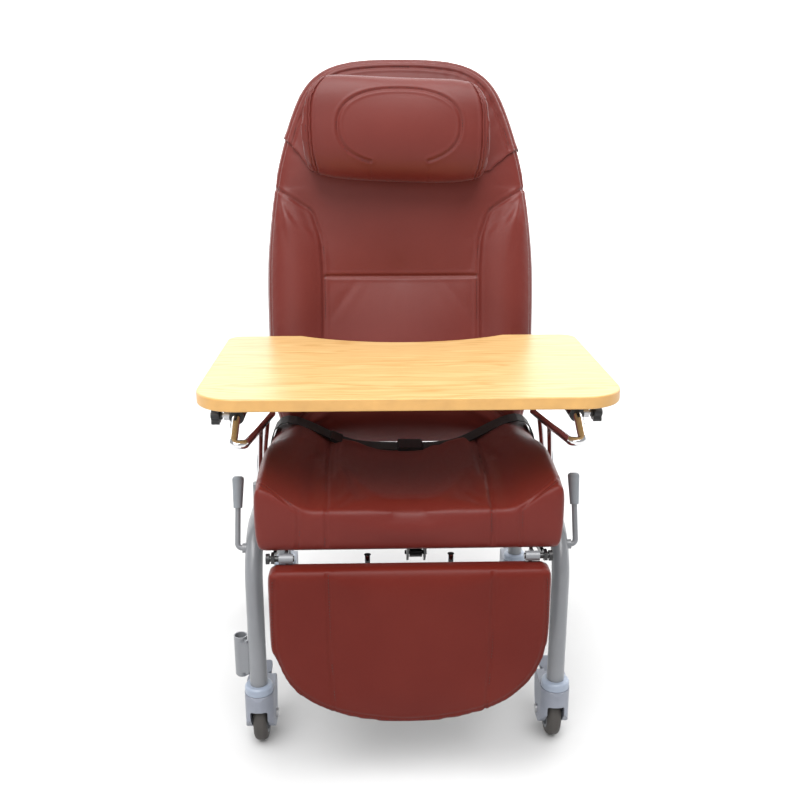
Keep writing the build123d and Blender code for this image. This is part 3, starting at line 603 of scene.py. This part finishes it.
def build_seat():
    o = copy_node("seat_cushion", "seat_pad")
    remesh(o, 0.006)
    front_top = 0.5195

    def shape(co, n):
        x, y, z = co
        v = y - OY
        # front top edge rolls over: it is lowered a little along the front
        if z > 0.46:
            k = max(0.0, 1 - abs(v + 0.075) / 0.05)
            z -= 0.004 * k * (1 if z > front_top - 0.02 else 0)
        # raised wings along both sides, highest at the front corners
        ax = min(1.0, max(0.0, (abs(x) - 0.168) / 0.085))
        rear = min(1.0, max(0.0, (v - 0.04) / 0.26))
        wing = ax ** 1.15 * (1 - rear * rear * (3 - 2 * rear))
        z += 0.045 * wing * min(1.0, max(0.0, (z - 0.450) / 0.050))
        # side walls tuck in towards the bottom
        t = max(0.0, (0.475 - z) / 0.032)
        x *= 1 - 0.012 * t
        return Vector((x, y, z))
    move_verts(o, shape)
    relax(o, 6)
    tree = tree_of(o)
    paths = []
    for m in (-1, 1):
        front = [Vector((m * 0.141, OY - 0.085, 0.4465)), Vector((m * 0.1405, OY - 0.085, 0.49)),
                 Vector((m * 0.140, OY - 0.070, 0.522))]
        top = [Vector((m * 0.140, OY - 0.04, 0.52)), Vector((m * 0.146, OY + 0.15, 0.50)),
               Vector((m * 0.150, OY + 0.33, 0.49))]
        line = dense(front + top, 0.004)
        paths.append(("long", cast(tree, line, FRONT_DIR)))
        corner = [Vector((m * 0.2590, OY - 0.056, 0.564)), Vector((m * 0.240, OY - 0.070, 0.554)),
                  Vector((m * 0.214, OY - 0.081, 0.537)), Vector((m * 0.1875, OY - 0.087, 0.515)),
                  Vector((m * 0.187, OY - 0.087, 0.49)), Vector((m * 0.191, OY - 0.087, 0.4465))]
        paths.append(("corner", cast(tree, dense(corner, 0.004), FRONT_DIR)))
    kd = path_tree([[p for p, _ in path] for _, path in paths])
    floor_z = SEAT_LO[2] + 0.012

    def held(co):
        if co.z < floor_z:
            return 1.0
        return near(kd, co, 0.010) * 0.9
    puff(o, held, pressure=2.2, cap=0.010, stiff=14.0, bend=2.0)
    relax(o, 2)
    finer(o)
    tree = tree_of(o)
    laid = [[(p2, n2) for p2, n2 in cast(tree, [p for p, _ in path], FRONT_DIR)]
            for _, path in paths]
    groove(o, laid, width=0.0028, depth=0.0022, shoulder=0.0005)
    tree = tree_of(o)
    laid = [cast(tree, [p for p, _ in path], FRONT_DIR) for path in laid]
    done(o, "base", "vinyl", "seat_cushion", mat=M_VINYL_SEAT_SHADED, fill=0.75)
    st = stitches("seat_stitching", laid, side=0.0030)
    done(st, "base", "vinyl")
    return o


# ------------------------------------------------------------------ back cushion
BOLSTER = [(0.273, 0.545), (0.258, 0.538), (0.236, 0.524), (0.210, 0.508), (0.188, 0.492),
           (0.177, 0.465), (0.168, 0.434), (0.1645, 0.393), (0.1635, 0.362), (0.1635, 0.247),
           (0.166, 0.160), (0.180, 0.105), (0.201, 0.071), (0.232, 0.045), (0.245, 0.038)]
OUTLINE = [(0.80, 0.0), (0.885, 0.030), (0.945, 0.085), (0.985, 0.17), (1.0, 0.30), (0.998, 0.48),
           (0.968, 0.60), (0.93, 0.70), (0.875, 0.78), (0.80, 0.86), (0.70, 0.93), (0.57, 0.97),
           (0.38, 0.992), (0.0, 1.0)]


def outline_path(inset, s_low=0.0):
    """Closed-over-the-top edge line of the back, in x and s."""
    half = [((0.283 - inset) * f, inset + h * (0.810 - 2 * inset)) for f, h in OUTLINE]
    half = [p for p in half if p[1] >= s_low]
    return [(x, s) for x, s in half] + [(-x, s) for x, s in reversed(half[:-1])]


def build_back():
    o = copy_node("back_cushion", "back_pad")
    remesh(o, 0.0065)

    def shape(co, n):
        x, s, w = back_coords(co)
        ax = abs(x)
        front = max(0.0, min(1.0, 1 - w / 0.055))
        lift = 0.0
        if s < 0.56:
            edge = 0.165
            if s > 0.40:
                edge = 0.165 + 0.085 * max(0.0, (s - 0.40) / 0.14) ** 1.6
            if s < 0.15:
                edge = 0.165 + 0.07 * ((0.15 - s) / 0.15) ** 1.5
            outer = 0.281
            if ax > edge:
                t = (ax - edge) / max(0.01, outer - edge)
                lift += 0.020 * math.sin(math.pi * min(1.0, t * 0.80 + 0.05)) \
                    * min(1.0, (outer - edge) / 0.09)
        if ax < 0.165:
            k = 1 - (ax / 0.165) ** 2
            lift -= 0.010 * k * math.exp(-((s - 0.30) / 0.26) ** 2)
            lift += 0.010 * k * math.exp(-((s - 0.20) / 0.09) ** 2)
            lift += 0.005 * k * math.exp(-((s - 0.45) / 0.06) ** 2)
        return co - REAR * (lift * front)
    move_verts(o, shape)
    relax(o, 5)
    tree = tree_of(o)
    lines = []
    for m in (-1, 1):
        pts = smooth_path([on_back(m * x, s, -0.05) for x, s in BOLSTER], 0.004)
        lines.append(cast(tree, pts, REAR))
    cross = dense([on_back(-0.163, 0.357, -0.05), on_back(0.163, 0.357, -0.05)], 0.004)
    lines.append(cast(tree, cross, REAR))
    edge = smooth_path([on_back(x, s, -0.02) for x, s in outline_path(0.009, 0.02)], 0.004)
    edge_line = cast(tree, edge, REAR)
    kd = path_tree([[p for p, _ in path] for path in lines + [edge_line]])

    def held(co):
        w = back_coords(co)[2]
        if w > 0.060:
            return 1.0
        return near(kd, co, 0.010)
    puff(o, held, pressure=3.2, cap=0.022, stiff=10.0, bend=1.0)
    relax(o, 2)

    def pinch(co, n):
        """Pulled folds where the bolster seam starts, and at the middle of the cross seam."""
        x, s, w = back_coords(co)
        if w > 0.05:
            return co
        ax = abs(x)
        d = 0.0
        for fx, fs, ang, ln, dp in ((0.236, 0.500, 1.05, 0.050, 0.0045),
                                    (0.252, 0.480, 1.35, 0.060, 0.0035),
                                    (0.205, 0.470, 0.75, 0.035, 0.0025)):
            ux, us = -math.cos(ang), -math.sin(ang)
            rx, rs = ax - fx, s - fs
            al = rx * ux + rs * us
            ac = rx * us - rs * ux
            d += dp * math.exp(-(al / ln) ** 2) * math.exp(-(ac / 0.007) ** 2)
        d += 0.002 * math.exp(-(x / 0.02) ** 2) * math.exp(-((s - 0.37) / 0.03) ** 2)
        return co - n * d
    move_verts(o, pinch)
    finer(o)
    tree = tree_of(o)
    laid = [cast(tree, [p - REAR * 0.03 for p, _ in path], REAR) for path in lines]
    groove(o, laid, width=0.0032, depth=0.0032, shoulder=0.0008)
    laid_edge = cast(tree, [p - REAR * 0.03 for p, _ in edge_line], REAR)
    groove(o, [laid_edge], width=0.0026, depth=0.0022, shoulder=0.0006)
    tree = tree_of(o)
    laid = [cast(tree, [p - REAR * 0.03 for p, _ in path], REAR) for path in laid]
    laid_edge = cast(tree, [p - REAR * 0.03 for p, _ in laid_edge], REAR)
    done(o, "back", "vinyl", "back_cushion", mat=M_VINYL, fill=0.7)
    parts = [stitches("back_stitch_left", [laid[0]], side=0.0034),
             stitches("back_stitch_right", [laid[1]], side=-0.0034),
             stitches("back_stitch_edge", [laid_edge], side=0.0034)]
    for p in parts:
        if p:
            done(p, "back", "vinyl")
    return o


# ------------------------------------------------------------------ hood over the top of the back
def build_hood(back):
    src = back.data

    def low_edge(x, w):
        """How far down the hood reaches: lower under the pillow, level across the rear."""
        ax = abs(x)
        side = 0.637 - 0.015 * max(-1.0, min(1.0, x / 0.24))
        base = 0.574
        if w > 0.05:
            return side
        t = max(0.0, min(1.0, (ax - 0.188) / 0.058))
        return base + (side - base) * t ** 0.85
    vs, fs, remap = [], [], {}
    for p in src.polygons:
        c = p.center
        x, s, w = back_coords(c)
        if s > low_edge(x, w):
            ids = []
            for i in p.vertices:
                if i not in remap:
                    remap[i] = len(vs)
                    v = src.vertices[i]
                    n = v.normal
                    out = 0.0026
                    wr = back_coords(v.co)[2]
                    rear = max(0.0, n.dot(REAR))
                    vs.append(v.co + n * out + REAR * (0.0115 * rear if wr > 0.05 else 0.0))
                ids.append(remap[i])
            fs.append(tuple(ids))
    o = new_object("pillow_hood_cover", vs, fs, M_VINYL)

    def settle(co, n):
        x, s, w = back_coords(co)
        limit = low_edge(x, w)
        if s < limit + 0.02:
            # clean hem: lift the band along the lower edge a little
            k = 1 - max(0.0, s - limit) / 0.02
            return co + n * 0.0012 * k
        return co
    move_verts(o, settle)
    bm = bmesh.new()
    bm.from_mesh(o.data)
    for _ in range(4):
        for v in bm.verts:
            if v.is_boundary:
                nb = [e.other_vert(v).co for e in v.link_edges if e.is_boundary]
                if len(nb) == 2:
                    v.co = v.co.lerp((nb[0] + nb[1]) / 2, 0.5)
    bm.to_mesh(o.data)
    bm.free()
    tree = tree_of(o)
    line = smooth_path([on_back(x, s, -0.03) for x, s in outline_path(0.022, 0.60)], 0.004)
    laid = cast(tree, line, REAR)
    groove(o, [laid], width=0.0026, depth=0.0022, shoulder=0.0012)
    tree = tree_of(o)
    laid = cast(tree, [p - REAR * 0.03 for p, _ in laid], REAR)
    m = o.modifiers.new("thick", "SOLIDIFY")
    m.thickness = 0.0022
    m.offset = -1
    apply_mods(o)
    done(o, "back", "vinyl", "pillow_hood", mat=M_VINYL)
    st = stitches("hood_stitching", [laid], side=-0.0030)
    if st:
        done(st, "back", "vinyl")
    return o


# ------------------------------------------------------------------ head pillow
P_LEFT, P_RIGHT = -0.199, 0.178
P_MID_S, P_HALF = 0.651, 0.100
P_DEPTH = 0.112


def pillow_point(x, phi, grow=0.0):
    """Surface of the roll: phi 0 faces forwards, rising to the top."""
    xm, xh = (P_LEFT + P_RIGHT) / 2, (P_RIGHT - P_LEFT) / 2
    u = min(1.0, abs(x - xm) / xh)
    k = 1 - 0.16 * u ** 6
    c, sn = math.cos(phi), math.sin(phi)
    e = 0.78
    fs = math.copysign(abs(sn) ** e, sn) * (P_HALF + grow) * k
    fw = math.copysign(abs(c) ** e, c)
    depth = (P_DEPTH / 2 + grow) * k
    wc = -0.007 - P_DEPTH / 2
    lean = -0.010 * sn
    w = wc - fw * depth + lean + (0.004 if fw < 0 else 0)
    tilt = -0.007 * (x - xm) / xh
    taper = (0.20 if x < xm else 0.13) * max(0.0, sn) ** 2 + 0.05 * max(0.0, -sn) ** 3
    px = x - (x - xm) * taper * u ** 2
    return on_back(px, P_MID_S + fs + tilt - 0.004 * (1 - u * u), min(w, -0.0045))


def build_pillow():
    nx, na = 60, 72
    verts, faces = [], []
    xs = []
    for i in range(nx + 1):
        t = -math.cos(math.pi * i / nx)
        xs.append((P_LEFT + P_RIGHT) / 2 + (P_RIGHT - P_LEFT) / 2 * t)
    for x in xs:
        for j in range(na):
            verts.append(pillow_point(x, math.tau * j / na))
    for i in range(nx):
        for j in range(na):
            a0, a1 = i * na + j, i * na + (j + 1) % na
            faces.append((a0, a1, a1 + na, a0 + na))
    faces.append(tuple(reversed(range(na))))
    faces.append(tuple(nx * na + j for j in range(na)))
    o = new_object("head_roll", verts, faces, M_VINYL)
    remesh(o, 0.0045)
    relax(o, 5)
    xm = (P_LEFT + P_RIGHT) / 2
    tree = tree_of(o)
    ends = []
    for x in (P_LEFT + 0.014, P_RIGHT - 0.012):
        ring = [pillow_point(x, math.tau * j / 160, 0.02) for j in range(161)]
        pts = []
        for p in ring:
            hit, nor, _, d = tree.find_nearest(p)
            pts.append((hit, nor))
        ends.append(pts)
    oval = []
    for i in range(97):
        t = math.radians(-155 + 310 * i / 96)
        ox = 0.122 * math.copysign(abs(math.sin(t)) ** 0.86, math.sin(t))
        os_ = 0.072 * math.copysign(abs(math.cos(t)) ** 0.86, math.cos(t))
        oval.append(on_back(xm + 0.006 + ox, P_MID_S - 0.006 + os_, -0.14))
    laid_oval = cast(tree, oval, REAR)
    kd = path_tree([[p for p, _ in path] for path in ends + [laid_oval]])

    def held(co):
        w = back_coords(co)[2]
        if w > -0.012:
            return 1.0
        return near(kd, co, 0.008) * 0.95
    puff(o, held, pressure=3.5, cap=0.012, stiff=12.0, bend=1.2)
    relax(o, 2)
    finer(o)
    tree = tree_of(o)
    laid_oval = cast(tree, oval, REAR)
    ends2 = [[tree.find_nearest(p)[:2] for p, _ in ring] for ring in ends]
    drops = []
    for first in (0, -1):
        p = laid_oval[first][0]
        x, s, w = back_coords(p)
        down = [on_back(x, s - 0.05 * k / 12, -0.16) for k in range(13)]
        drops.append(cast(tree, down, REAR))
    groove(o, [laid_oval], width=0.0028, depth=0.0026, shoulder=0.0008)
    groove(o, ends2, width=0.0030, depth=0.0030, shoulder=0.0010)
    groove(o, drops, width=0.0022, depth=0.0010)
    tree = tree_of(o)
    laid_oval = cast(tree, oval, REAR)
    ends2 = [[tree.find_nearest(p)[:2] for p, _ in ring] for ring in ends2]
    done(o, "back", "vinyl", "head_pillow", mat=M_VINYL, fill=0.85)
    st = stitches("pillow_oval_stitching", [laid_oval], side=0.0030)
    done(st, "back", "vinyl")
    for k, (ring, sgn) in enumerate(zip(ends2, (1, -1))):
        pts = [p + n * 0.0012 for p, n in ring[:-1]]
        pipe = ring_tube("pillow_piping_%d" % k, pts, 0.0026, M_VINYL)
        done(pipe, "back", "vinyl")
        st = stitches("pillow_end_stitching_%d" % k, [[(p, n) for p, n in ring]], side=0.0075 * sgn)
        if st:
            done(st, "back", "vinyl")
    return o


# ------------------------------------------------------------------ legrest pad
def build_legrest():
    o = copy_node("legrest_pad", "legrest_cushion")
    lo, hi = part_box("legrest_pad")
    remesh(o, 0.0055)
    relax(o, 4)
    tree = tree_of(o)
    ahead = Vector((0, 1, 0))
    lines = []
    for m in (-1, 1):
        pts = [Vector((m * 0.140, lo[1] - 0.02, hi[2] - 0.004)),
               Vector((m * 0.1385, lo[1] - 0.02, (lo[2] + hi[2]) / 2)),
               Vector((m * 0.132, lo[1] - 0.02, lo[2] + 0.022))]
        lines.append(cast(tree, dense(pts, 0.004), ahead))
    top_z, half = hi[2], hi[0]
    h = top_z - lo[2]
    inner = ((1.0, 0.05), (1.0, 0.335), (0.978, 0.53), (0.895, 0.705), (0.735, 0.845), (0.475, 0.947))
    rim = [Vector((half * f - 0.011 * (1.1 - g), lo[1] - 0.02, top_z - h * g + 0.011 * g))
           for f, g in inner]
    rim.append(Vector((0, lo[1] - 0.02, lo[2] + 0.010)))
    rim = rim + [Vector((-p.x, p.y, p.z)) for p in reversed(rim[:-1])]
    rim_line = cast(tree, smooth_path(rim, 0.004), ahead)
    kd = path_tree([[p for p, _ in path] for path in lines])
    kr = path_tree([[p for p, _ in rim_line]])
    back_y = hi[1] - 0.012

    def held(co):
        if co.y > back_y:
            return 1.0
        return max(near(kd, co, 0.008) * 0.8, near(kr, co, 0.008))
    puff(o, held, pressure=2.6, cap=0.012, stiff=14.0, bend=2.0)
    relax(o, 2)
    finer(o)
    tree = tree_of(o)
    lay = lambda path: cast(tree, [p - ahead * 0.03 for p, _ in path], ahead)
    laid, rim_l = [lay(p) for p in lines], lay(rim_line)
    groove(o, laid, width=0.0026, depth=0.0018, shoulder=0.0004)
    groove(o, [rim_l], width=0.0024, depth=0.0014, shoulder=0.0004)
    tree = tree_of(o)
    laid, rim_l = [lay(p) for p in laid], lay(rim_l)
    done(o, "legrest", "vinyl", "legrest_pad", mat=M_VINYL_LEG_SHADED, fill=0.75)
    done(stitches("legrest_stitching", laid, side=0.0030), "legrest", "vinyl")
    done(stitches("legrest_edge_stitching", [rim_l], side=0.0028), "legrest", "vinyl")
    return o


build_seat()
build_hood(build_back())
build_pillow()
build_legrest()

# ------------------------------------------------------------------ stage
HALF, NEAR_EDGE, FAR_EDGE = 90.0, -60.0, 9.0     # the floor, in metres
WALL_Y, WALL_LOW, WALL_HIGH = 8.9, -1.0, 30.0
AMBIENT = 0.42                                   # light from the open background


def link(o):
    bpy.context.scene.collection.objects.link(o)
    return o


def screen(name, corners, color, rough):
    """One large flat face of the stage; returns its shader node."""
    me = bpy.data.meshes.new(name)
    me.from_pydata(corners, [], [(0, 1, 2, 3)])
    o = link(bpy.data.objects.new(name, me))
    mat, _, _, shader = base_mat(name, color, rough)
    me.materials.append(mat)
    return shader


screen("floor", [(-HALF, NEAR_EDGE, 0), (HALF, NEAR_EDGE, 0), (HALF, FAR_EDGE, 0),
                 (-HALF, FAR_EDGE, 0)], (0.50, 0.50, 0.50), 0.8)
glow = screen("backdrop", [(-HALF, WALL_Y, WALL_LOW), (HALF, WALL_Y, WALL_LOW),
                           (HALF, WALL_Y, WALL_HIGH), (-HALF, WALL_Y, WALL_HIGH)],
              (0.9, 0.9, 0.9), 1.0)
glow.inputs["Emission Color"].default_value = (1, 1, 1, 1)
glow.inputs["Emission Strength"].default_value = 0.9

world = bpy.data.worlds.new("studio")
bpy.context.scene.world = world
world.use_nodes = True
# soft grey light from all round, while the open background itself shows white
tree = world.node_tree
background = tree.nodes["Background"]
background.inputs["Color"].default_value = (1, 1, 1, 1)
path = tree.nodes.new("ShaderNodeLightPath")
level = tree.nodes.new("ShaderNodeMapRange")
level.inputs["To Min"].default_value = AMBIENT
level.inputs["To Max"].default_value = 1.0
tree.links.new(path.outputs["Is Camera Ray"], level.inputs["Value"])
tree.links.new(level.outputs["Result"], background.inputs["Strength"])


def area(name, loc, aim, size, power):
    l = bpy.data.lights.new(name, "AREA")
    l.shape = "RECTANGLE"
    l.size, l.size_y = size
    l.energy = power
    o = link(bpy.data.objects.new(name, l))
    o.location = loc
    o.rotation_euler = (Vector(aim) - Vector(loc)).to_track_quat("-Z", "Y").to_euler()
    return o


def sun(name, tilt_deg, turn_deg, power, spread):
    l = bpy.data.lights.new(name, "SUN")
    l.energy = power
    l.angle = math.radians(spread)
    o = link(bpy.data.objects.new(name, l))
    o.rotation_euler = (math.radians(tilt_deg), 0, math.radians(turn_deg))
    return o


sun("ceiling", 24, -8, 4.6, 55)
area("fill", (-1.6, -3.4, 2.0), (0, 0, 0.7), (2.4, 2.0), 26)
area("rim", (2.2, 1.6, 2.6), (0, 0.1, 0.7), (1.6, 1.6), 22)

# camera: in front, 1.15 m up, looking 16.6 degrees down
cam_data = bpy.data.cameras.new("camera")
cam_data.lens = 43.0
cam_data.sensor_width = 36.0
cam = link(bpy.data.objects.new("camera", cam_data))
AZ = math.radians(1.7)
PIVOT = Vector((0.0, OY + 0.30, 0.0))
DIST = 1.567 + 0.30
cam.location = PIVOT + Vector((-DIST * math.sin(AZ), -DIST * math.cos(AZ), 1.15))
cam.rotation_euler = (math.radians(90 - 16.6), 0, -AZ)
cam_data.shift_x = -0.00375
bpy.context.scene.camera = cam
bpy.context.scene.view_settings.view_transform = "Standard"
